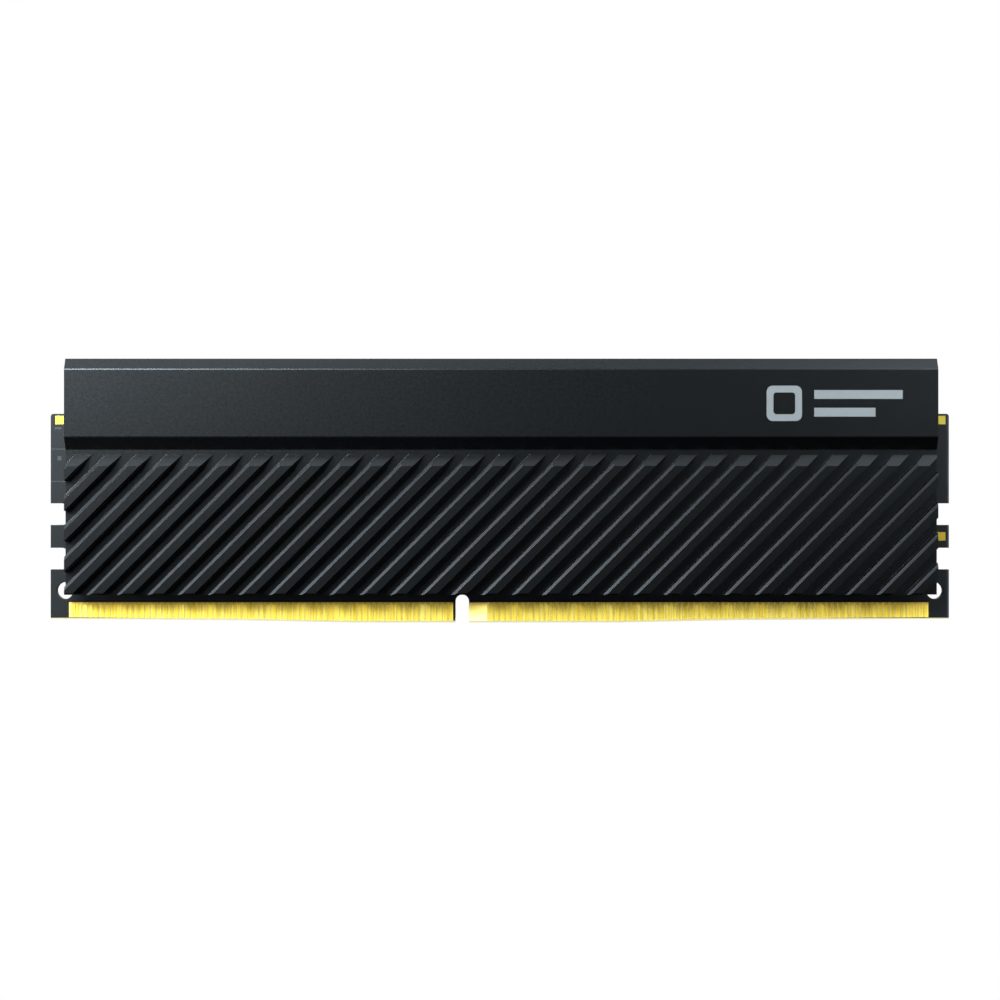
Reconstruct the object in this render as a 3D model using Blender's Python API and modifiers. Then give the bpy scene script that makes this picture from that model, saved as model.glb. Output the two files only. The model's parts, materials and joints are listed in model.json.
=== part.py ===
"""Desktop memory module with a two-shell ribbed heat spreader.

X runs along the board, Y through its thickness with the front at -Y, and Z up.
The origin is the middle of the lower board edge, the face that seats in the socket.
"""
import math

import bmesh
import bpy
from mathutils import Vector

MM = 0.001

# Circuit board: a 133.35 x 31.0 mm card, 1.40 mm thick over its contacts.
BOARD_LENGTH = 133.35 * MM
BOARD_HEIGHT = 31.0 * MM
BOARD_THICKNESS = 1.30 * MM
BOARD_CORNER_RADIUS = 0.4 * MM
BOARD_END = BOARD_LENGTH / 2
BOARD_FACE = BOARD_THICKNESS / 2

# The lower edge is lowest along its middle and rises in two slopes towards each end.
EDGE_FLAT_CENTRE = -2.0 * MM
EDGE_FLAT_HALF = 19.6 * MM
EDGE_RAMP_LENGTH = 17.3 * MM
EDGE_RAMP_RISE = 0.35 * MM
EDGE_END_RISE = 0.55 * MM
EDGE_CHAMFER = 0.28 * MM

# Openings in the board's outline.
KEY_CENTRE_X = 61.1 * MM - BOARD_END
KEY_WIDTH = 2.0 * MM
KEY_DEPTH = 4.15 * MM
KEY_ROUNDNESS = 0.98
LATCH_HEIGHTS = (9.5 * MM, 16.1 * MM)
LATCH_SIZE = 3.2 * MM
LATCH_DEPTH = 2.5 * MM
LATCH_RADIUS = 0.75 * MM
HOLE_DIAMETER = 2.5 * MM
HOLE_INSET = 2.1 * MM
HOLE_HEIGHT = 4.75 * MM

# Edge contacts: two groups on each side of the board, on one pitch.
CONTACT_PITCH = 0.85 * MM
CONTACT_WIDTH = 0.60 * MM
CONTACT_TOP = 3.0 * MM
CONTACT_INSET = 3.35 * MM
CONTACT_COUNT_LEFT = 67
CONTACT_COUNT_RIGHT = 77
CONTACT_THICKNESS = 0.04 * MM
BUS_HEIGHT = 0.4 * MM
SURFACE_GAP = 0.01 * MM

# Bare gold pads on the parts of the board that stick out past the shells.
PAD_SIZE = 1.25 * MM
PAD_TOP_MARGIN = 0.30 * MM
PAD_LEFT_MARGIN = 0.70 * MM
PAD_RIGHT_MARGIN = 0.53 * MM

# Memory chips stand on solder balls, four on each side of the middle.
CHIP_WIDTH = 7.5 * MM
CHIP_HEIGHT = 11.0 * MM
CHIP_THICKNESS = 0.85 * MM
CHIP_STANDOFF = 0.30 * MM
CHIP_EDGE = 0.08 * MM
CHIP_FIRST_X = 14.0 * MM
CHIP_PITCH = 14.5 * MM
CHIP_CENTRE_Z = 19.0 * MM
CHIPS_PER_SIDE = 8

# Small parts: presence-detect chip, resistor arrays and decoupling capacitors.
SMALL_STANDOFF = 0.05 * MM
EEPROM_SIZE = (2.0 * MM, 0.75 * MM, 3.0 * MM)
RESISTOR_SIZE = (2.0 * MM, 0.45 * MM, 1.0 * MM)
RESISTOR_Z = 8.2 * MM
CAPACITOR_SIZE = (1.0 * MM, 0.5 * MM, 0.5 * MM)
CAPACITOR_Z = 27.2 * MM
CAPACITORS_PER_SIDE = 5

# Heat spreader shells. A depth is a distance from the board's middle plane.
SHELL_LENGTH = 128.5 * MM
SHELL_OFFSET_X = 0.20 * MM
SHELL_BOTTOM = 4.25 * MM
SHELL_TOP = 39.05 * MM
SHELL_OUTER = 4.0 * MM
SHELL_BASE = 2.82 * MM
SHELL_INNER = 2.30 * MM
SHELL_SEAM = 0.05 * MM
FLANGE_THICKNESS = 1.6 * MM
TOP_CHAMFER_HEIGHT = 1.6 * MM
TOP_CHAMFER_DEPTH = 1.05 * MM
SOFT_EDGE_RADIUS = 0.55 * MM
FINE_EDGE_RADIUS = 0.25 * MM
BAND_BOTTOM = 27.45 * MM
SLOPE_BOTTOM = 25.65 * MM
RIB_RAMP_TOP = 24.85 * MM
RIB_RAMP_BOTTOM = 23.2 * MM

# Diagonal ribs: widths are measured along X, and each rib leans one unit across per unit up.
RIB_PITCH = 4.466 * MM
RIB_PHASE = 2.05 * MM
RIB_BEVEL_WIDTH = 0.55 * MM
RIB_BEVEL_DEPTH = 0.34 * MM
RIB_FLAT_WIDTH = 1.66 * MM
RIB_WALL_LEAN = 0.06 * MM
VALLEY_FOOT_RADIUS = 0.18 * MM
VALLEY_DEPTH = 2.80 * MM
VALLEY_TOP = 25.0 * MM

# Thermal pads fill the space between the chips and the shells.
THERMAL_GAP = 0.05 * MM
THERMAL_LENGTH = 123.0 * MM
THERMAL_HEIGHT = 14.0 * MM

# Emblem on the front band: a rounded frame and two bars.
EMBLEM_THICKNESS = 0.04 * MM
EMBLEM_CENTRE_Z = 32.4 * MM
EMBLEM_FRAME_X = 41.8 * MM
EMBLEM_FRAME_SIZE = 5.2 * MM
EMBLEM_FRAME_WALL = 1.0 * MM
EMBLEM_FRAME_RADIUS = 0.9 * MM
EMBLEM_BAR_START = 46.2 * MM
EMBLEM_BAR_HEIGHT = 1.3 * MM
EMBLEM_BAR_LENGTHS = {"emblem_bar_upper": 13.0 * MM, "emblem_bar_lower": 9.0 * MM}
EMBLEM_BAR_RISE = 1.3 * MM

ARC_STEPS = 4
CIRCLE_STEPS = 24
CUT_MARGIN = 1.0 * MM
WELD_DISTANCE = 0.001 * MM
FLAT_ANGLE = 0.001
SHARP_ANGLE = math.radians(30)
STANDING = (math.pi / 2, 0, 0)
SIDEWAYS = (math.pi / 2, 0, math.pi / 2)
SIDES = {"front": -1, "back": 1}


def clear_scene():
    """Start from an empty scene."""
    for old in list(bpy.data.objects):
        bpy.data.objects.remove(old)


def new_collection(name):
    """Make a collection under the scene's own."""
    collection = bpy.data.collections.new(name)
    bpy.context.scene.collection.children.link(collection)
    return collection


def make_material(name, colour, metallic, roughness):
    """Make a plain Principled material."""
    material = bpy.data.materials.new(name)
    material.use_nodes = True
    shader = material.node_tree.nodes["Principled BSDF"]
    shader.inputs["Base Color"].default_value = (*colour, 1)
    shader.inputs["Metallic"].default_value = metallic
    shader.inputs["Roughness"].default_value = roughness
    return material


def adopt(piece, name, material, collection, parent=None):
    """Name a new object, give it its material and put it in its collection."""
    for old_home in list(piece.users_collection):
        old_home.objects.unlink(piece)
    collection.objects.link(piece)
    piece.name = name
    piece.data.name = name
    piece.data.materials.clear()
    piece.data.materials.append(material)
    piece.parent = parent


def make_cutter(piece, name):
    """Keep a cutting shape out of sight, in the cutters' collection."""
    adopt(piece, name, MATERIALS["cutter"], CUTTERS)
    piece.display_type = "WIRE"
    piece.hide_render = True


def cut(piece, cutter):
    """Subtract one object from another with an exact Boolean."""
    boolean = piece.modifiers.new("cut_" + cutter.name, "BOOLEAN")
    boolean.operation = "DIFFERENCE"
    boolean.solver = "EXACT"
    boolean.object = cutter


def rounded_outline(corners):
    """Turn corners given as (x, y, radius) into points, with an arc at each rounded corner."""
    points = []
    for index, (x, y, radius) in enumerate(corners):
        corner = Vector((x, y))
        if not radius:
            points.append(corner)
            continue
        before = Vector(corners[index - 1][:2])
        after = Vector(corners[(index + 1) % len(corners)][:2])
        along = (corner - before).normalized()
        leaving = (after - corner).normalized()
        turn = along.angle(leaving)
        start = corner - along * radius * math.tan(turn / 2)
        inward = (leaving - along * along.dot(leaving)).normalized()
        centre = start + inward * radius
        for step in range(ARC_STEPS + 1):
            angle = turn * step / ARC_STEPS
            points.append(centre - inward * radius * math.cos(angle) + along * radius * math.sin(angle))
    return points


def outline_object(outlines, thickness):
    """Fill closed flat outlines, thicken them evenly and return the mesh object."""
    curve = bpy.data.curves.new("outline", "CURVE")
    curve.dimensions = "2D"
    curve.fill_mode = "BOTH"
    curve.extrude = thickness / 2
    for outline in outlines:
        spline = curve.splines.new("POLY")
        spline.points.add(len(outline) - 1)
        spline.use_cyclic_u = True
        for point, (x, y) in zip(spline.points, outline):
            point.co = (x, y, 0, 1)
    drawing = bpy.data.objects.new("drawing", curve)
    bpy.context.scene.collection.objects.link(drawing)
    graph = bpy.context.evaluated_depsgraph_get()
    mesh = bpy.data.meshes.new_from_object(drawing.evaluated_get(graph))
    bpy.data.objects.remove(drawing)
    shape = bmesh.new()
    shape.from_mesh(mesh)
    bmesh.ops.remove_doubles(shape, verts=shape.verts, dist=WELD_DISTANCE)
    bmesh.ops.dissolve_limit(shape, angle_limit=FLAT_ANGLE, verts=shape.verts, edges=shape.edges)
    shape.to_mesh(mesh)
    shape.free()
    mesh.shade_smooth()
    mesh.set_sharp_from_angle(angle=SHARP_ANGLE)
    return bpy.data.objects.new("solid", mesh)


def make_box(size, centre):
    """Make a box of the given size with its centre in the given place."""
    bpy.ops.mesh.primitive_cube_add(size=1)
    box = bpy.context.object
    box.data.transform(((size[0], 0, 0, 0), (0, size[1], 0, 0), (0, 0, size[2], 0), (0, 0, 0, 1)))
    box.location = centre
    return box


def bottom_edge_corners():
    """List where the lower board edge bends, from left to right."""
    flat_start = EDGE_FLAT_CENTRE - EDGE_FLAT_HALF
    flat_end = EDGE_FLAT_CENTRE + EDGE_FLAT_HALF
    return [
        (-BOARD_END, EDGE_END_RISE),
        (flat_start - EDGE_RAMP_LENGTH, EDGE_RAMP_RISE),
        (flat_start, 0),
        (flat_end, 0),
        (flat_end + EDGE_RAMP_LENGTH, EDGE_RAMP_RISE),
        (BOARD_END, EDGE_END_RISE),
    ]


def edge_height(x):
    """Give the height of the lower board edge at x."""
    corners = bottom_edge_corners()
    for (x0, z0), (x1, z1) in zip(corners, corners[1:]):
        if x <= x1:
            return z0 + (z1 - z0) * (x - x0) / (x1 - x0)
    return EDGE_END_RISE


def latch_notch_corners(side, centre_z):
    """Corners of one latch notch, from its lower lip to its upper lip."""
    mouth = side * BOARD_END
    floor = side * (BOARD_END - LATCH_DEPTH)
    low = centre_z - LATCH_SIZE / 2
    high = centre_z + LATCH_SIZE / 2
    return [(mouth, low, 0), (floor, low, LATCH_RADIUS), (floor, high, LATCH_RADIUS), (mouth, high, 0)]


def board_corners():
    """Walk round the board's outline, starting at its lower left corner."""
    lower = [(x, z, 0) for x, z in bottom_edge_corners()]
    key_left = KEY_CENTRE_X - KEY_WIDTH / 2
    key_right = KEY_CENTRE_X + KEY_WIDTH / 2
    key_radius = KEY_WIDTH / 2 * KEY_ROUNDNESS
    key = [
        (key_left, 0, 0),
        (key_left, KEY_DEPTH, key_radius),
        (key_right, KEY_DEPTH, key_radius),
        (key_right, 0, 0),
    ]
    right = [corner for z in LATCH_HEIGHTS for corner in latch_notch_corners(1, z)]
    left = [corner for z in LATCH_HEIGHTS for corner in latch_notch_corners(-1, z)]
    top = [
        (BOARD_END, BOARD_HEIGHT, BOARD_CORNER_RADIUS),
        (-BOARD_END, BOARD_HEIGHT, BOARD_CORNER_RADIUS),
    ]
    return lower[:3] + key + lower[3:] + right + top + left[::-1]


def chamfer_contact_edge(mesh):
    """Bevel both long corners of the lower board edge, for an easy entry into the socket."""
    shape = bmesh.new()
    shape.from_mesh(mesh)
    limit = EDGE_END_RISE + WELD_DISTANCE
    low_edges = [
        edge
        for edge in shape.edges
        if all(vertex.co.y <= limit for vertex in edge.verts)
        and abs(edge.verts[0].co.z - edge.verts[1].co.z) < WELD_DISTANCE
    ]
    bmesh.ops.bevel(shape, geom=low_edges, offset=EDGE_CHAMFER, segments=1, affect="EDGES")
    shape.to_mesh(mesh)
    shape.free()


def circle_outline(centre_x, centre_y, radius):
    """Points round a circle."""
    angles = [2 * math.pi * step / CIRCLE_STEPS for step in range(CIRCLE_STEPS)]
    return [(centre_x + radius * math.cos(angle), centre_y + radius * math.sin(angle)) for angle in angles]


def make_board():
    """Build the circuit board with its key, latch notches, end holes and chamfered contact edge."""
    outlines = [rounded_outline(board_corners())]
    for side in (-1, 1):
        outlines.append(circle_outline(side * (BOARD_END - HOLE_INSET), HOLE_HEIGHT, HOLE_DIAMETER / 2))
    board = outline_object(outlines, BOARD_THICKNESS)
    chamfer_contact_edge(board.data)
    adopt(board, "circuit_board", MATERIALS["solder_mask"], MODULE, ORIGIN)
    board.rotation_euler = STANDING


def contact_outline(first_x, count):
    """Outline a row of contacts hanging from the copper strip that runs under the solder mask."""
    half = CONTACT_WIDTH / 2
    last_x = first_x + (count - 1) * CONTACT_PITCH
    strip_top = CONTACT_TOP + BUS_HEIGHT
    points = [(last_x + half, strip_top), (first_x - half, strip_top)]
    for index in range(count):
        centre = first_x + index * CONTACT_PITCH
        tip = edge_height(centre) + EDGE_CHAMFER
        if index:
            points.append((centre - half, CONTACT_TOP))
        points.append((centre - half, tip))
        points.append((centre + half, tip))
        if index < count - 1:
            points.append((centre + half, CONTACT_TOP))
    return points


def make_contacts():
    """Build the four rows of gold edge contacts."""
    right_span = (CONTACT_COUNT_RIGHT - 1) * CONTACT_PITCH
    rows = {
        "left": (CONTACT_INSET - BOARD_END, CONTACT_COUNT_LEFT),
        "right": (BOARD_END - CONTACT_INSET - right_span, CONTACT_COUNT_RIGHT),
    }
    depth = BOARD_FACE + SURFACE_GAP + CONTACT_THICKNESS / 2
    for side, facing in SIDES.items():
        for row, (first_x, count) in rows.items():
            contacts = outline_object([contact_outline(first_x, count)], CONTACT_THICKNESS)
            adopt(contacts, f"contacts_{side}_{row}", MATERIALS["gold"], MODULE, ORIGIN)
            contacts.rotation_euler = STANDING
            contacts.location.y = facing * depth


def make_end_pads():
    """Build the bare gold pads on the front of the board's ends."""
    top_z = BOARD_HEIGHT - PAD_TOP_MARGIN - PAD_SIZE / 2
    between_latches_z = sum(LATCH_HEIGHTS) / 2
    left_x = PAD_LEFT_MARGIN + PAD_SIZE / 2 - BOARD_END
    right_x = BOARD_END - PAD_RIGHT_MARGIN - PAD_SIZE / 2
    places = {
        "end_pad_left_top": (left_x, top_z),
        "end_pad_right_top": (right_x, top_z),
        "end_pad_right_middle": (right_x, between_latches_z),
    }
    depth = BOARD_FACE + SURFACE_GAP + CONTACT_THICKNESS / 2
    for name, (x, z) in places.items():
        pad = make_box((PAD_SIZE, CONTACT_THICKNESS, PAD_SIZE), (x, -depth, z))
        adopt(pad, name, MATERIALS["gold"], MODULE, ORIGIN)


def chip_positions():
    """Give the chips' places along X, from left to right."""
    half = [CHIP_FIRST_X + index * CHIP_PITCH for index in range(CHIPS_PER_SIDE // 2)]
    return [-x for x in reversed(half)] + half


def make_memory_chips():
    """Build the memory chips on both sides of the board."""
    depth = BOARD_FACE + CHIP_STANDOFF + CHIP_THICKNESS / 2
    for side, facing in SIDES.items():
        for number, x in enumerate(chip_positions(), start=1):
            chip = make_box((CHIP_WIDTH, CHIP_THICKNESS, CHIP_HEIGHT), (x, facing * depth, CHIP_CENTRE_Z))
            adopt(chip, f"memory_chip_{side}_{number}", MATERIALS["chip_epoxy"], MODULE, ORIGIN)
            bevel = chip.modifiers.new("moulded_edge", "BEVEL")
            bevel.width = CHIP_EDGE
            bevel.segments = 1


def make_small_part(name, size, x, z, facing, material):
    """Seat one small surface-mounted part on the board."""
    depth = BOARD_FACE + SMALL_STANDOFF + size[1] / 2
    part = make_box(size, (x, facing * depth, z))
    adopt(part, name, MATERIALS[material], MODULE, ORIGIN)


def make_small_parts():
    """Build the presence-detect chip, the resistor arrays and the decoupling capacitors."""
    make_small_part("presence_detect_chip", EEPROM_SIZE, 0, CHIP_CENTRE_Z, -1, "chip_epoxy")
    capacitor_spread = [2 * index - (CAPACITORS_PER_SIDE - 1) for index in range(CAPACITORS_PER_SIDE)]
    for side, facing in SIDES.items():
        for number, x in enumerate(chip_positions(), start=1):
            name = f"resistor_array_{side}_{number}"
            make_small_part(name, RESISTOR_SIZE, x, RESISTOR_Z, facing, "resistor")
        for number, step in enumerate(capacitor_spread, start=1):
            name = f"capacitor_{side}_{number}"
            make_small_part(name, CAPACITOR_SIZE, step * CHIP_PITCH / 2, CAPACITOR_Z, facing, "capacitor")


def shell_profile():
    """Corners of the shell's section as (depth, height, radius), with its ribbed zone still solid."""
    flange_bottom = SHELL_TOP - FLANGE_THICKNESS
    return [
        (SHELL_INNER, SHELL_BOTTOM, 0),
        (SHELL_OUTER, SHELL_BOTTOM, FINE_EDGE_RADIUS),
        (SHELL_OUTER, RIB_RAMP_BOTTOM, 0),
        (SHELL_BASE, RIB_RAMP_TOP, 0),
        (SHELL_BASE, SLOPE_BOTTOM, FINE_EDGE_RADIUS),
        (SHELL_OUTER, BAND_BOTTOM, SOFT_EDGE_RADIUS),
        (SHELL_OUTER, SHELL_TOP - TOP_CHAMFER_HEIGHT, SOFT_EDGE_RADIUS),
        (SHELL_OUTER - TOP_CHAMFER_DEPTH, SHELL_TOP, FINE_EDGE_RADIUS),
        (SHELL_SEAM, SHELL_TOP, 0),
        (SHELL_SEAM, flange_bottom, 0),
        (SHELL_INNER, flange_bottom, FINE_EDGE_RADIUS),
    ]


def valley_section(reach):
    """Outline one valley as (distance along X, depth): to the next rib, or past it by the reach."""
    wall_top = RIB_BEVEL_WIDTH / 2 + RIB_FLAT_WIDTH
    bevel_start = RIB_PITCH - RIB_BEVEL_WIDTH / 2 + reach
    outside = SHELL_OUTER + CUT_MARGIN
    return rounded_outline([
        (wall_top, outside, 0),
        (wall_top, SHELL_OUTER, 0),
        (wall_top + RIB_WALL_LEAN, VALLEY_DEPTH, VALLEY_FOOT_RADIUS),
        (bevel_start - RIB_WALL_LEAN, VALLEY_DEPTH, VALLEY_FOOT_RADIUS),
        (bevel_start, SHELL_OUTER - RIB_BEVEL_DEPTH, 0),
        (bevel_start + RIB_BEVEL_WIDTH, SHELL_OUTER, 0),
        (bevel_start + RIB_BEVEL_WIDTH, outside, 0),
    ])


def make_valley_cutter():
    """Build the cutter that leaves the ribs standing: one leaning prism for each valley."""
    start_z = SHELL_BOTTOM - CUT_MARGIN
    climb = VALLEY_TOP - start_z
    lowest = -SHELL_LENGTH / 2 - VALLEY_TOP
    highest = SHELL_LENGTH / 2 - SHELL_BOTTOM
    first = math.floor((lowest - RIB_PHASE) / RIB_PITCH)
    last = math.floor((highest - RIB_PHASE) / RIB_PITCH)
    shape = bmesh.new()
    for index in range(first, last + 1):
        line_x = RIB_PHASE + index * RIB_PITCH + start_z
        # The next rib would start past the lower corner and leave a splinter there.
        section = valley_section(RIB_PITCH if index == last else 0)
        ring = [shape.verts.new((line_x + across, -depth, start_z)) for across, depth in section]
        grown = bmesh.ops.extrude_face_region(shape, geom=[shape.faces.new(ring)])
        moved = [item for item in grown["geom"] if isinstance(item, bmesh.types.BMVert)]
        bmesh.ops.translate(shape, verts=moved, vec=(climb, 0, climb))
    bmesh.ops.recalc_face_normals(shape, faces=shape.faces)
    mesh = bpy.data.meshes.new("valleys")
    shape.to_mesh(mesh)
    shape.free()
    cutter = bpy.data.objects.new("valleys", mesh)
    make_cutter(cutter, "valley_cutter")
    return cutter


def make_shells():
    """Build the two heat spreader shells, the back one turned half round from the front one."""
    for side, turn in (("front", 0), ("back", math.pi)):
        place = bpy.data.objects.new("shell_place_" + side, None)
        MODULE.objects.link(place)
        place.parent = ORIGIN
        place.location.x = SHELL_OFFSET_X
        place.rotation_euler.z = turn
        section = rounded_outline(shell_profile())
        shell = outline_object([[(-depth, z) for depth, z in section]], SHELL_LENGTH)
        adopt(shell, f"heat_spreader_{side}", MATERIALS["anodised_aluminium"], MODULE, place)
        shell.rotation_euler = SIDEWAYS
        valleys = make_valley_cutter()
        valleys.parent = place
        cut(shell, valleys)


def make_thermal_pads():
    """Build the thermal pads that bond the chips to the shells."""
    inner = BOARD_FACE + CHIP_STANDOFF + CHIP_THICKNESS + THERMAL_GAP
    outer = SHELL_INNER - THERMAL_GAP
    size = (THERMAL_LENGTH, outer - inner, THERMAL_HEIGHT)
    for side, facing in SIDES.items():
        pad = make_box(size, (0, facing * (inner + outer) / 2, CHIP_CENTRE_Z))
        adopt(pad, f"thermal_pad_{side}", MATERIALS["thermal_pad"], MODULE, ORIGIN)


def square_corners(size, radius):
    """Corners of a centred square with rounded corners."""
    half = size / 2
    return [(-half, -half, radius), (half, -half, radius), (half, half, radius), (-half, half, radius)]


def make_emblem():
    """Build the plain emblem on the front band."""
    depth = SHELL_OUTER + SURFACE_GAP + EMBLEM_THICKNESS / 2
    outer = rounded_outline(square_corners(EMBLEM_FRAME_SIZE, EMBLEM_FRAME_RADIUS))
    inner_size = EMBLEM_FRAME_SIZE - 2 * EMBLEM_FRAME_WALL
    inner = rounded_outline(square_corners(inner_size, EMBLEM_FRAME_RADIUS / 2))
    frame = outline_object([outer, inner], EMBLEM_THICKNESS)
    adopt(frame, "emblem_frame", MATERIALS["silver_print"], MODULE, ORIGIN)
    frame.rotation_euler = STANDING
    frame.location = (EMBLEM_FRAME_X, -depth, EMBLEM_CENTRE_Z)
    for rise, (name, length) in zip((EMBLEM_BAR_RISE, -EMBLEM_BAR_RISE), EMBLEM_BAR_LENGTHS.items()):
        centre = (EMBLEM_BAR_START + length / 2, -depth, EMBLEM_CENTRE_Z + rise)
        bar = make_box((length, EMBLEM_THICKNESS, EMBLEM_BAR_HEIGHT), centre)
        adopt(bar, name, MATERIALS["silver_print"], MODULE, ORIGIN)


clear_scene()
MODULE = new_collection("ram_module")
CUTTERS = new_collection("cutters")
MATERIALS = {
    "cutter": make_material("cutter", (0.8, 0.2, 0.2), 0, 0.5),
    "solder_mask": make_material("solder_mask", (0.022, 0.024, 0.026), 0, 0.35),
    "gold": make_material("gold", (0.83, 0.62, 0.20), 1, 0.25),
    "chip_epoxy": make_material("chip_epoxy", (0.02, 0.02, 0.02), 0, 0.6),
    "resistor": make_material("resistor", (0.05, 0.05, 0.06), 0, 0.4),
    "capacitor": make_material("capacitor", (0.45, 0.33, 0.22), 0, 0.4),
    "anodised_aluminium": make_material("anodised_aluminium", (0.035, 0.038, 0.041), 0.8, 0.4),
    "thermal_pad": make_material("thermal_pad", (0.30, 0.32, 0.36), 0, 0.8),
    "silver_print": make_material("silver_print", (0.62, 0.66, 0.69), 0.6, 0.35),
}
ORIGIN = bpy.data.objects.new("module_origin", None)
MODULE.objects.link(ORIGIN)

make_board()
make_contacts()
make_end_pads()
make_memory_chips()
make_small_parts()
make_thermal_pads()
make_shells()
make_emblem()
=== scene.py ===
"""Looks for the desktop memory module: materials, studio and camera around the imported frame."""

import json
import math

import bpy
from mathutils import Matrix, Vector


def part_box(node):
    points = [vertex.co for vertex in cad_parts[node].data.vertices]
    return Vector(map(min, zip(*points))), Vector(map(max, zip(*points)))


MM = 0.001

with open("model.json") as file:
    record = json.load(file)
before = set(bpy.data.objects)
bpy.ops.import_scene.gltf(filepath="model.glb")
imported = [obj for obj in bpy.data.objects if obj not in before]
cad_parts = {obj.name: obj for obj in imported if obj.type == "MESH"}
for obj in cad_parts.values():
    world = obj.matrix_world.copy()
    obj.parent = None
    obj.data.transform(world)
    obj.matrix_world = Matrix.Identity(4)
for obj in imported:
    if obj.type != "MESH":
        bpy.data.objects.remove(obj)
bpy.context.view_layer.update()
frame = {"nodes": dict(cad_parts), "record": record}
SUBPARTS = frame["record"]["subparts"]

# Camera, set by the board's plane: how wide the picture is there, and how far away it is.
VIEW_WIDTH = 148.74 * MM
VIEW_DISTANCE = 330 * MM
VIEW_CENTRE = Vector((0.03 * MM, 0, 18.20 * MM))
SENSOR_WIDTH = 36
NEAREST_SEEN = 10 * MM

# Softboxes: what each is aimed at along the module (mm), its azimuth from the front towards +X,
# elevation, distance (m), side (m) and power (W).
SOFTBOXES = {
    "key_left": (-65, -50, 25, 0.15, 0.05, 0.51),
    "key_left_high": (-65, -30, 40, 0.15, 0.05, 0.20),
    "side_left": (-65, -80, 0, 0.15, 0.05, 0.62),
    "front_left": (-65, -10, 35, 0.25, 0.06, 0.45),
    "top_left": (0, -60, 80, 0.60, 0.25, 0.54),
    "high_right": (0, 40, 55, 0.60, 0.25, 0.55),
    "front_right": (65, 35, 30, 0.25, 0.12, 0.33),
    "side_right": (65, 70, 35, 0.25, 0.12, 1.00),
    "back_left": (-40, -150, 30, 0.40, 0.25, 1.60),
    "back_right": (40, 155, 25, 0.40, 0.25, 0.90),
    "back_side_right": (0, 128, 5, 0.60, 0.25, 1.80),
    "back_top": (0, 180, 60, 0.50, 0.25, 0.80),
}
AIM_HEIGHT = 20 * MM

# The floor is a wide plane just under the module.
FLOOR_SIZE = 20
FLOOR_DROP = 0.05 * MM

# Places on the board: its end, the contacts' tops, the key's sides and where the mask stops.
BOARD_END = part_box("circuit_board")[1].x
CONTACT_TOP = 3.0 * MM
KEY_LEFT = -6.6 * MM
KEY_RIGHT = -4.5 * MM
BARE_LEFT = -63.95 * MM
BARE_RIGHT = 63.6 * MM
BARE_KEY_MARGIN = 0.35 * MM
OPEN_CLOTH = 2.6 * MM

# Heights that part the gold pieces: the contacts from the pads, and the low pad from the high ones.
PADS_FROM = (5 * MM, 6 * MM)
HIGH_PADS_FROM = (20 * MM, 21 * MM)

# Copper that shows through the mask on the left end, from the board's edge inwards.
TRACE_LENGTH = 2.6 * MM
TRACE_WIDTH = 0.12 * MM
TRACE_HEIGHTS = (20.9 * MM, 25.7 * MM)
DOT_SPAN = (1.0 * MM, 1.6 * MM)
DOT_HEIGHTS = (24.1 * MM, 24.7 * MM)
PATCH_SPAN = (0.6 * MM, 1.6 * MM)
PATCH_HEIGHTS = (28.7 * MM, 29.0 * MM)
# Width of the pale line along the right end's edge, which is a painted highlight, not copper.
END_LINE_WIDTH = 0.28 * MM

# The glass cloth's weave and the layers in the board's cut edge.
CLOTH_PITCH = 0.50 * MM
LAYER_PITCH = 0.17 * MM
# Top of the pale band along the contact edge, which is partly painted light from the floor.
LOW_EDGE_TOP = 0.7 * MM

# Black anodised aluminium: its tint and how rough it is.
ANODISED = Vector((0.0400, 0.0463, 0.0512))
ANODISED_ROUGHNESS = 0.36
MATT_AT_GRAZING = (0.38, 0.38, 0.38, 1.0)

# Pieces in these slots are foils and prints, too thin for eased edges.
THIN_SLOTS = ("gold", "silver_print")
BEVEL_WIDTH = 0.06 * MM
BEVEL_FROM = math.radians(25)
WELD_DISTANCE = 0.001 * MM
FLAT_WITHIN = math.radians(0.5)

# Edges sharper than this stay sharp in the shading.
SMOOTH_LIMIT = math.radians(32)

# The solder mask's sheen: how strong it is, its tint and how rough.
MASK_SHEEN = 0.72
MASK_TINT = (0.80, 0.92, 1.0, 1.0)
MASK_ROUGHNESS = 0.37


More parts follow.
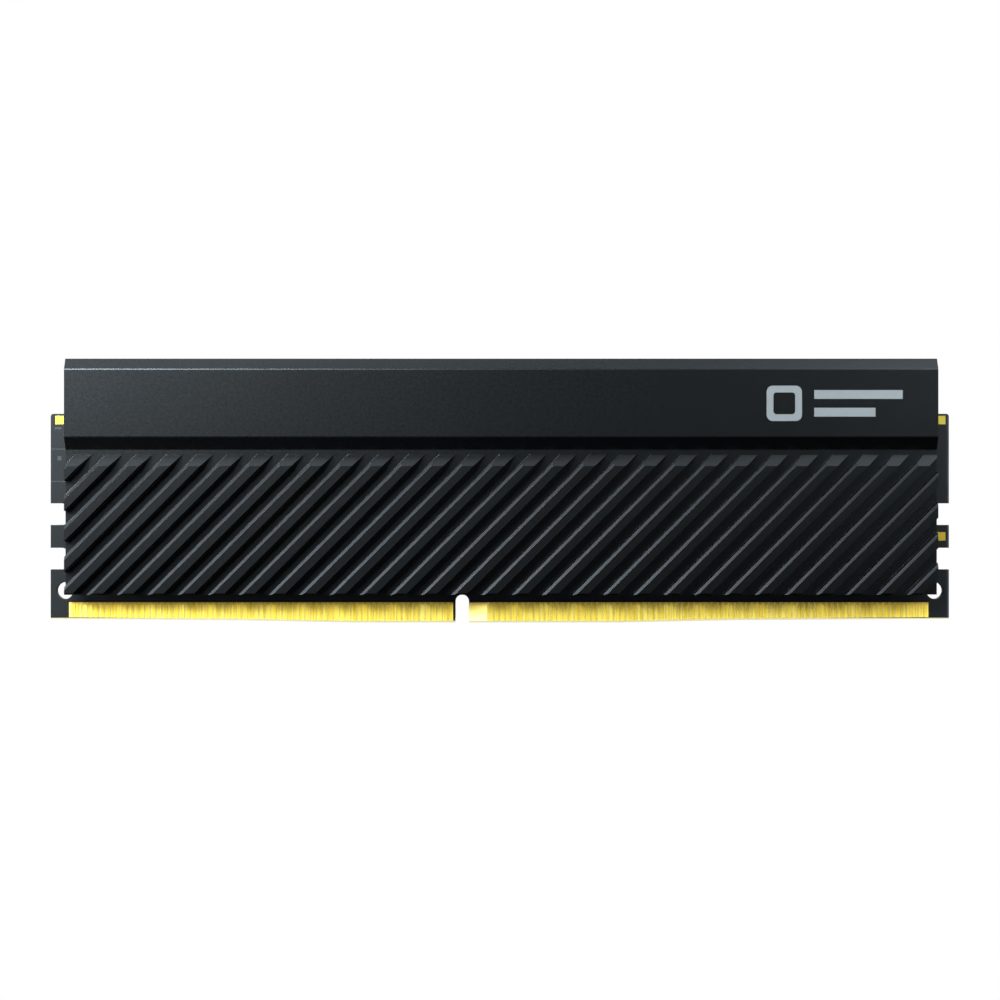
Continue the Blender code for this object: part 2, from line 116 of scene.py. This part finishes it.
class Look:
    """A material under construction, with short calls for the nodes that the looks share."""

    def __init__(self, name):
        self.material = bpy.data.materials.new(name)
        self.material.use_nodes = True
        self.nodes = self.material.node_tree.nodes
        self.links = self.material.node_tree.links
        self.shader = self.nodes["Principled BSDF"]
        self.place = self.add("ShaderNodeTexCoord").outputs["Object"]

    def add(self, kind, **settings):
        """Add a node and set its properties."""
        node = self.nodes.new(kind)
        for key, value in settings.items():
            setattr(node, key, value)
        return node

    def wire(self, source, target):
        """Link a socket, or set a plain value."""
        if isinstance(source, bpy.types.NodeSocket):
            self.links.new(source, target)
        else:
            target.default_value = source

    def set(self, **values):
        """Set or link the shader's sockets; an underscore stands for a space."""
        for name, value in values.items():
            self.wire(value, self.shader.inputs[name.replace("_", " ").title().replace("Ior", "IOR")])

    def maths(self, operation, first, second=0.0):
        """Add a Math node."""
        node = self.add("ShaderNodeMath", operation=operation)
        self.wire(first, node.inputs[0])
        self.wire(second, node.inputs[1])
        return node.outputs[0]

    def scaled(self, stretch):
        """Object coordinates, stretched along each axis."""
        node = self.add("ShaderNodeVectorMath", operation="MULTIPLY")
        self.wire(self.place, node.inputs[0])
        node.inputs[1].default_value = stretch
        return node.outputs[0]

    def noise(self, size, detail=2.0, stretch=(1, 1, 1)):
        """Noise with features of about the given size in metres."""
        node = self.add("ShaderNodeTexNoise")
        self.wire(self.scaled(stretch), node.inputs["Vector"])
        node.inputs["Scale"].default_value = 1 / size
        node.inputs["Detail"].default_value = detail
        return node.outputs["Fac"]

    def remap(self, value, low, high, new_low=0.0, new_high=1.0):
        """Map a value from one range to another, clamped."""
        node = self.add("ShaderNodeMapRange")
        limits = {"From Min": low, "From Max": high, "To Min": new_low, "To Max": new_high}
        self.wire(value, node.inputs["Value"])
        for name, number in limits.items():
            self.wire(number, node.inputs[name])
        return node.outputs["Result"]

    def mix(self, factor, first, second):
        """Mix two colours."""
        node = self.add("ShaderNodeMix", data_type="RGBA")
        self.wire(factor, node.inputs["Factor"])
        self.wire(first, node.inputs[6])
        self.wire(second, node.inputs[7])
        return node.outputs[2]

    def bump(self, height, strength, distance):
        """Bump the surface by a height map; the distance is in metres."""
        node = self.add("ShaderNodeBump")
        self.wire(height, node.inputs["Height"])
        node.inputs["Strength"].default_value = strength
        node.inputs["Distance"].default_value = distance
        return node.outputs["Normal"]

    def axis(self, number):
        """One of the object coordinates, in metres."""
        node = self.add("ShaderNodeSeparateXYZ")
        self.wire(self.place, node.inputs[0])
        return node.outputs[number]

    def facing(self, number):
        """How far the surface faces along an axis, whichever way: 0 to 1."""
        node = self.add("ShaderNodeSeparateXYZ")
        self.wire(self.add("ShaderNodeNewGeometry").outputs["True Normal"], node.inputs[0])
        return self.maths("ABSOLUTE", node.outputs[number])

    def between(self, value, low, high, soft=0.03 * MM):
        """1 where a value lies between two limits and 0 outside, with soft borders."""
        rise = self.remap(value, low - soft, low + soft)
        fall = self.remap(value, high - soft, high + soft, 1.0, 0.0)
        return self.maths("MULTIPLY", rise, fall)

    def any_of(self, *masks):
        """The strongest of several masks."""
        result = masks[0]
        for mask in masks[1:]:
            result = self.maths("MAXIMUM", result, mask)
        return result

    def all_of(self, *masks):
        """The product of several masks."""
        result = masks[0]
        for mask in masks[1:]:
            result = self.maths("MULTIPLY", result, mask)
        return result

    def blend(self, mask, first, second):
        """Mix two numbers."""
        return self.remap(mask, 0.0, 1.0, first, second)

    def edges(self, radius):
        """1 on sharp edges, 0 on flat faces."""
        rounded = self.add("ShaderNodeBevel", samples=4)
        rounded.inputs["Radius"].default_value = radius
        dot = self.add("ShaderNodeVectorMath", operation="DOT_PRODUCT")
        self.wire(rounded.outputs[0], dot.inputs[0])
        self.wire(self.add("ShaderNodeNewGeometry").outputs["Normal"], dot.inputs[1])
        return self.remap(dot.outputs["Value"], 0.98, 0.80)


def colour(red, green, blue):
    """A colour with its alpha."""
    return (red, green, blue, 1)


def anodised_aluminium():
    """Black anodised aluminium, bead blasted: fine grain, cloudy gloss and slightly rubbed edges that are
    lightened, partly as a painted highlight.
    """
    look = Look("look_anodised_aluminium")
    cloud = look.noise(9 * MM, 3)
    grain = look.noise(0.16 * MM, 3)
    pits = look.noise(0.45 * MM, 2)
    base = look.mix(cloud, colour(*(ANODISED * 0.93)), colour(*(ANODISED * 1.07)))
    base = look.mix(look.remap(grain, 0.35, 0.75, 0.0, 0.35), base, colour(*(ANODISED * 1.5)))
    # Edges lightened here: partly real rubbing, partly a painted highlight along the edges.
    rubbed_edge_highlight = look.all_of(look.edges(0.10 * MM), look.remap(look.noise(1.1 * MM, 4), 0.42, 0.62), 0.15)
    base = look.mix(rubbed_edge_highlight, base, colour(0.26, 0.27, 0.28))
    gloss = look.blend(pits, ANODISED_ROUGHNESS - 0.04, ANODISED_ROUGHNESS + 0.04)
    height = look.maths("ADD", grain, pits)
    look.set(base_color=base, metallic=1.0, roughness=gloss, normal=look.bump(height, 0.25, 0.006 * MM))
    look.set(specular_tint=MATT_AT_GRAZING)
    return look.material


def bare_zone(look):
    """Where the board has no solder mask: both contact rows, but not the strip by the key's left side."""
    x = look.axis(0)
    left = look.between(x, BARE_LEFT, KEY_LEFT - BARE_KEY_MARGIN)
    right = look.between(x, KEY_RIGHT - BARE_KEY_MARGIN, BARE_RIGHT)
    low = look.between(look.axis(2), -CONTACT_TOP, CONTACT_TOP)
    return look.all_of(look.any_of(left, right), low)


def left_end_mark(look, span, heights):
    """A mark on the board's left end: its span is counted from the board's edge inwards."""
    across = look.between(look.axis(0), span[0] - BOARD_END, span[1] - BOARD_END)
    return look.all_of(across, look.between(look.axis(2), *heights))


def trace_marks_and_edge_highlight(look):
    """Copper lines, a dot and a patch that show through the mask on the board's bare ends, and a painted
    highlight along the right end's edge.
    """
    spans = [((0, TRACE_LENGTH), (height, height + TRACE_WIDTH)) for height in TRACE_HEIGHTS]
    spans.append((DOT_SPAN, DOT_HEIGHTS))
    spans.append((PATCH_SPAN, PATCH_HEIGHTS))
    marks = [left_end_mark(look, span, heights) for span, heights in spans]
    # A pale strip along the right end's edge: a painted highlight.
    right_edge_highlight = look.between(look.axis(0), BOARD_END - END_LINE_WIDTH, BOARD_END)
    return look.any_of(right_edge_highlight, *marks)


def weave(look, pitch):
    """The cross weave of the glass cloth in the board."""
    x = look.maths("SINE", look.maths("MULTIPLY", look.axis(0), 2 * math.pi / pitch))
    z = look.maths("SINE", look.maths("MULTIPLY", look.axis(2), 2 * math.pi / pitch))
    return look.remap(look.maths("MULTIPLY", x, z), -1.0, 1.0)


def mask_tone(look, marks):
    """Black solder mask, a little cloudy, and paler over the copper marks and over the painted highlight
    along the right edge.
    """
    cloud = look.noise(2.5 * MM, 3)
    tone = look.mix(cloud, colour(0.0025, 0.0031, 0.0036), colour(0.0045, 0.0055, 0.0062))
    return look.mix(marks, tone, colour(0.050, 0.062, 0.072))


def cloth_tone(look, cloth, fibre):
    """Bare glass cloth: amber darkened between the contacts as painted shade, pale beside the key and paler
    towards the lower edge as painted light, with brown painted shade at its top.
    """
    z = look.axis(2)
    # The brown band at the cloth's top is painted shade under the shell; it starts at this height.
    top_shade_foot = CONTACT_TOP - 0.6 * MM
    # Between the contacts the cloth is darkened as painted shade.
    between_contacts_shaded = look.mix(cloth, colour(0.50, 0.39, 0.065), colour(0.60, 0.48, 0.090))
    # Beside the key the cloth grows paler towards the lower edge: painted light from the floor.
    glow_towards_edge = look.remap(z, top_shade_foot, 0.4 * MM)
    beside_key = look.mix(glow_towards_edge, colour(1.0, 0.84, 0.15), colour(1.0, 0.93, 0.40))
    # Brown painted shade at the top, under the shell.
    beside_key = look.mix(look.remap(z, top_shade_foot, CONTACT_TOP), beside_key, colour(0.42, 0.22, 0.05))
    by_key = look.between(look.axis(0), KEY_RIGHT - BARE_KEY_MARGIN, KEY_RIGHT + OPEN_CLOTH)
    tone = look.mix(by_key, between_contacts_shaded, beside_key)
    return look.mix(look.remap(fibre, 0.45, 0.75, 0.0, 0.35), tone, colour(0.90, 0.80, 0.24))


def cut_edge_tone(look):
    """The board's cut edge: dark layers, and pale along the contact edge, partly resin and partly painted
    light from the floor below.
    """
    layers = look.maths("SINE", look.maths("MULTIPLY", look.axis(1), 2 * math.pi / LAYER_PITCH))
    tone = look.mix(look.remap(layers, -0.2, 0.9), colour(0.045, 0.042, 0.034), colour(0.022, 0.020, 0.017))
    # Pale along the contact edge: partly resin, partly painted light from the floor below.
    floor_lit_edge = look.between(look.axis(2), -CONTACT_TOP, LOW_EDGE_TOP)
    return look.mix(floor_lit_edge, tone, colour(0.86, 0.80, 0.46))


def board():
    """Black solder mask over glass cloth, bare cloth by the contacts and a layered cut edge."""
    look = Look("look_circuit_board")
    face = look.remap(look.facing(1), 0.90, 0.96)
    bare = look.all_of(bare_zone(look), face)
    cut_edge = look.maths("SUBTRACT", 1.0, face)
    cloth = weave(look, CLOTH_PITCH)
    fibre = look.noise(0.10 * MM, 3, stretch=(1, 1, 0.15))
    # Copper marks and the painted edge highlight, at half strength.
    marks = look.all_of(trace_marks_and_edge_highlight(look), 0.5)
    tone = look.mix(bare, mask_tone(look, marks), cloth_tone(look, cloth, fibre))
    tone = look.mix(cut_edge, tone, cut_edge_tone(look))
    gloss = look.blend(look.any_of(bare, cut_edge), MASK_ROUGHNESS, 0.62)
    height = look.maths("ADD", look.maths("MULTIPLY", cloth, 0.5), look.maths("ADD", fibre, marks))
    look.set(base_color=tone, metallic=0.0, roughness=gloss, normal=look.bump(height, 0.12, 0.006 * MM))
    look.set(specular_ior_level=MASK_SHEEN, specular_tint=MASK_TINT)
    return look.material


def contact_tone(look, z, streaks):
    """Gold of the contacts: darker at the top and paler towards the lower edge as painted shade and light,
    worn in upright streaks.
    """
    wear = look.remap(look.noise(0.80 * MM, 1, stretch=(1, 1, 0)), 0.35, 0.65)
    upper = look.mix(wear, colour(0.78, 0.55, 0.042), colour(0.97, 0.73, 0.060))
    lower = look.mix(wear, colour(0.97, 0.74, 0.075), colour(1.0, 0.85, 0.11))
    # Darker at the top and paler at the bottom: painted shade towards the top, painted light towards the
    # bottom.
    tone = look.mix(look.remap(z, CONTACT_TOP - 0.2 * MM, 0.3 * MM), upper, lower)
    tone = look.mix(look.remap(streaks, 0.55, 0.62, 0.0, 0.55), tone, colour(1.0, 0.93, 0.26))
    return look.mix(look.remap(streaks, 0.45, 0.38, 0.0, 0.35), tone, colour(0.50, 0.34, 0.030))


def gold():
    """Hard gold plating with fine insertion scratches; mask covers the strip above the contacts."""
    look = Look("look_gold")
    z = look.axis(2)
    streaks = look.noise(0.32 * MM, 1, stretch=(1, 1, 0))
    # The low pad is a darker copy of the high pads' gold: painted shade lower down the board.
    low_pad_shaded = colour(0.50, 0.37, 0.036)
    high_pad = colour(0.58, 0.50, 0.075)
    pad_tone = look.mix(look.remap(z, *HIGH_PADS_FROM), low_pad_shaded, high_pad)
    tone = look.mix(look.remap(z, *PADS_FROM), contact_tone(look, z, streaks), pad_tone)
    # A copper-brown band at the contacts' top: partly the copper's tint, partly painted shade under the
    # shell.
    stained_and_shaded = look.between(z, CONTACT_TOP - 0.30 * MM, CONTACT_TOP, 0.15 * MM)
    tone = look.mix(look.all_of(stained_and_shaded, 0.75), tone, colour(0.50, 0.27, 0.07))
    strip = look.between(z, CONTACT_TOP, CONTACT_TOP + 1 * MM)
    tone = look.mix(strip, tone, colour(0.0040, 0.0047, 0.0053))
    gloss = look.blend(strip, look.blend(streaks, 0.48, 0.60), MASK_ROUGHNESS)
    metal = look.blend(strip, 0.60, 0.0)
    look.set(base_color=tone, metallic=metal, roughness=gloss, normal=look.bump(streaks, 0.10, 0.002 * MM))
    return look.material


def chip_epoxy():
    """Moulded black epoxy with a fine matt grain."""
    look = Look("look_chip_epoxy")
    grain = look.noise(0.09 * MM, 3)
    tone = look.mix(grain, colour(0.012, 0.012, 0.013), colour(0.026, 0.026, 0.028))
    gloss = look.blend(look.noise(1.5 * MM), 0.50, 0.62)
    look.set(base_color=tone, metallic=0.0, roughness=gloss, normal=look.bump(grain, 0.40, 0.006 * MM))
    return look.material


def body_place(look):
    """Coordinates from 0 to 1 across the piece's own box."""
    node = look.add("ShaderNodeSeparateXYZ")
    look.wire(look.add("ShaderNodeTexCoord").outputs["Generated"], node.inputs[0])
    return node.outputs


def small_part(name, body_tone, terminals, cap_share, glossy):
    """A ceramic body with tinned ends; an array has several ends along each long side."""
    look = Look(name)
    across = body_place(look)
    along = across[2] if terminals > 1 else across[0]
    centred = look.maths("ABSOLUTE", look.maths("SUBTRACT", along, 0.5))
    ends = look.remap(centred, 0.49 - cap_share, 0.51 - cap_share)
    if terminals > 1:
        comb = look.maths("SINE", look.maths("MULTIPLY", across[0], 2 * math.pi * terminals))
        ends = look.all_of(ends, look.remap(comb, -0.25, 0.05))
    grain = look.noise(0.08 * MM, 3)
    light = colour(*(part * 1.25 for part in body_tone))
    tone = look.mix(grain, colour(*body_tone), light)
    tone = look.mix(ends, tone, colour(0.72, 0.72, 0.70))
    metal = look.blend(ends, 0.0, 0.9)
    gloss = look.blend(ends, glossy, 0.38)
    look.set(base_color=tone, metallic=metal, roughness=gloss, normal=look.bump(grain, 0.30, 0.005 * MM))
    return look.material


def thermal_pad():
    """Soft grey silicone with ceramic filler."""
    look = Look("look_thermal_pad")
    filler = look.noise(0.12 * MM, 4)
    waves = look.noise(4 * MM, 2)
    tone = look.mix(filler, colour(0.24, 0.27, 0.31), colour(0.36, 0.39, 0.43))
    gloss = look.blend(waves, 0.72, 0.88)
    height = look.maths("ADD", look.maths("MULTIPLY", filler, 0.3), waves)
    look.set(base_color=tone, metallic=0.0, roughness=gloss, normal=look.bump(height, 0.50, 0.03 * MM))
    return look.material


def silver_print():
    """Pad-printed silver ink, a little grainy and thin in places."""
    look = Look("look_silver_print")
    flakes = look.noise(0.10 * MM, 3)
    thin = look.noise(1.6 * MM, 3)
    tone = look.mix(flakes, colour(0.24, 0.29, 0.315), colour(0.31, 0.36, 0.387))
    tone = look.mix(look.remap(thin, 0.55, 0.80, 0.0, 0.18), tone, colour(0.20, 0.24, 0.27))
    gloss = look.blend(flakes, 0.42, 0.58)
    look.set(base_color=tone, metallic=0.7, roughness=gloss, normal=look.bump(flakes, 0.25, 0.004 * MM))
    return look.material


LOOKS = {
    "solder_mask": board(),
    "gold": gold(),
    "anodised_aluminium": anodised_aluminium(),
    "chip_epoxy": chip_epoxy(),
    "resistor": small_part("look_resistor", (0.020, 0.020, 0.022), 4, 0.28, 0.35),
    "capacitor": small_part("look_capacitor", (0.36, 0.24, 0.14), 1, 0.24, 0.45),
    "thermal_pad": thermal_pad(),
    "silver_print": silver_print(),
}


def smoothing_group(limit):
    """Geometry nodes that shade smooth everywhere but across edges sharper than the limit."""
    group = bpy.data.node_groups.new("smooth_by_angle", "GeometryNodeTree")
    group.interface.new_socket("Geometry", in_out="INPUT", socket_type="NodeSocketGeometry")
    group.interface.new_socket("Geometry", in_out="OUTPUT", socket_type="NodeSocketGeometry")
    start = group.nodes.new("NodeGroupInput")
    end = group.nodes.new("NodeGroupOutput")
    angle = group.nodes.new("GeometryNodeInputMeshEdgeAngle")
    sharp = group.nodes.new("FunctionNodeCompare")
    sharp.operation = "GREATER_THAN"
    sharp.inputs[1].default_value = limit
    faces = group.nodes.new("GeometryNodeSetShadeSmooth")
    edges = group.nodes.new("GeometryNodeSetShadeSmooth")
    edges.domain = "EDGE"
    edges.inputs["Shade Smooth"].default_value = False
    group.links.new(start.outputs[0], faces.inputs["Geometry"])
    group.links.new(faces.outputs[0], edges.inputs["Geometry"])
    group.links.new(angle.outputs["Unsigned Angle"], sharp.inputs[0])
    group.links.new(sharp.outputs[0], edges.inputs["Selection"])
    group.links.new(edges.outputs[0], end.inputs[0])
    return group


SMOOTHING = smoothing_group(SMOOTH_LIMIT)


def clean_mesh(node, bevelled):
    """Weld a CAD node's faces together, ease its edges and shade it smooth except at the sharp ones."""
    mesh = node.data
    custom = mesh.attributes.get("custom_normal")
    if custom:
        mesh.attributes.remove(custom)
    mesh.polygons.foreach_set("use_smooth", [True] * len(mesh.polygons))
    weld = node.modifiers.new("weld", "WELD")
    weld.merge_threshold = WELD_DISTANCE
    flat = node.modifiers.new("flat", "DECIMATE")
    flat.decimate_type = "DISSOLVE"
    flat.angle_limit = FLAT_WITHIN
    if bevelled:
        bevel = node.modifiers.new("edges", "BEVEL")
        bevel.width = BEVEL_WIDTH
        bevel.segments = 2
        bevel.limit_method = "ANGLE"
        bevel.angle_limit = BEVEL_FROM
    smooth = node.modifiers.new("smooth", "NODES")
    smooth.node_group = SMOOTHING
    normals = node.modifiers.new("level_faces", "WEIGHTED_NORMAL")
    normals.weight = 100
    normals.keep_sharp = True


def dress_nodes():
    """Give every CAD node a clean mesh and the look of its material slot."""
    slots = {part["node"]: part["material_slot"] for part in SUBPARTS}
    for name, node in frame["nodes"].items():
        clean_mesh(node, slots[name] not in THIN_SLOTS)
        node.data.materials.clear()
        node.data.materials.append(LOOKS[slots[name]])


def make_camera():
    """Look straight at the front, from the height of the picture's middle."""
    camera = bpy.data.objects.new("camera", bpy.data.cameras.new("camera"))
    bpy.context.scene.collection.objects.link(camera)
    camera.data.sensor_width = SENSOR_WIDTH
    camera.data.lens = SENSOR_WIDTH * VIEW_DISTANCE / VIEW_WIDTH
    camera.data.clip_start = NEAREST_SEEN
    camera.location = VIEW_CENTRE - Vector((0, VIEW_DISTANCE, 0))
    camera.rotation_euler = (math.pi / 2, 0, 0)
    bpy.context.scene.camera = camera


def make_floor():
    """Lay a plain floor with a light of its own, so that it stays evenly white; reflections miss it."""
    bpy.ops.mesh.primitive_plane_add(size=FLOOR_SIZE)
    floor = bpy.context.object
    floor.name = "floor"
    floor.location.z = -FLOOR_DROP
    floor.visible_glossy = False
    look = Look("look_floor")
    look.set(base_color=colour(0, 0, 0), specular_ior_level=0.0)
    look.set(emission_color=colour(1, 1, 1), emission_strength=1.0)
    floor.data.materials.append(look.material)


def make_world():
    """White where the camera sees it and black otherwise, so that the softboxes light the object."""
    world = bpy.data.worlds.new("studio")
    world.use_nodes = True
    bpy.context.scene.world = world
    nodes = world.node_tree.nodes
    links = world.node_tree.links
    nodes.clear()
    output = nodes.new("ShaderNodeOutputWorld")
    mix = nodes.new("ShaderNodeMixShader")
    path = nodes.new("ShaderNodeLightPath")
    seen = nodes.new("ShaderNodeBackground")
    seen.inputs["Color"].default_value = colour(1, 1, 1)
    unlit = nodes.new("ShaderNodeBackground")
    unlit.inputs["Color"].default_value = colour(0, 0, 0)
    links.new(path.outputs["Is Camera Ray"], mix.inputs["Fac"])
    links.new(unlit.outputs[0], mix.inputs[1])
    links.new(seen.outputs[0], mix.inputs[2])
    links.new(mix.outputs[0], output.inputs[0])


def make_softbox(name, aim, azimuth, elevation, distance, side, power):
    """Place one square softbox round the object, turned towards it."""
    light = bpy.data.lights.new(name, "AREA")
    light.size = side
    light.energy = power
    softbox = bpy.data.objects.new(name, light)
    bpy.context.scene.collection.objects.link(softbox)
    turn = math.radians(azimuth)
    lift = math.radians(elevation)
    flat = math.cos(lift)
    outward = Vector((math.sin(turn) * flat, -math.cos(turn) * flat, math.sin(lift)))
    softbox.location = Vector((aim * MM, 0, AIM_HEIGHT)) + outward * distance
    softbox.rotation_euler = (-outward).to_track_quat("-Z", "Y").to_euler()
    softbox.visible_camera = False


def make_lights():
    """Place the softboxes."""
    for name, settings in SOFTBOXES.items():
        make_softbox(name, *settings)


bpy.context.scene.view_settings.view_transform = "Standard"
dress_nodes()
make_camera()
make_floor()
make_world()
make_lights()
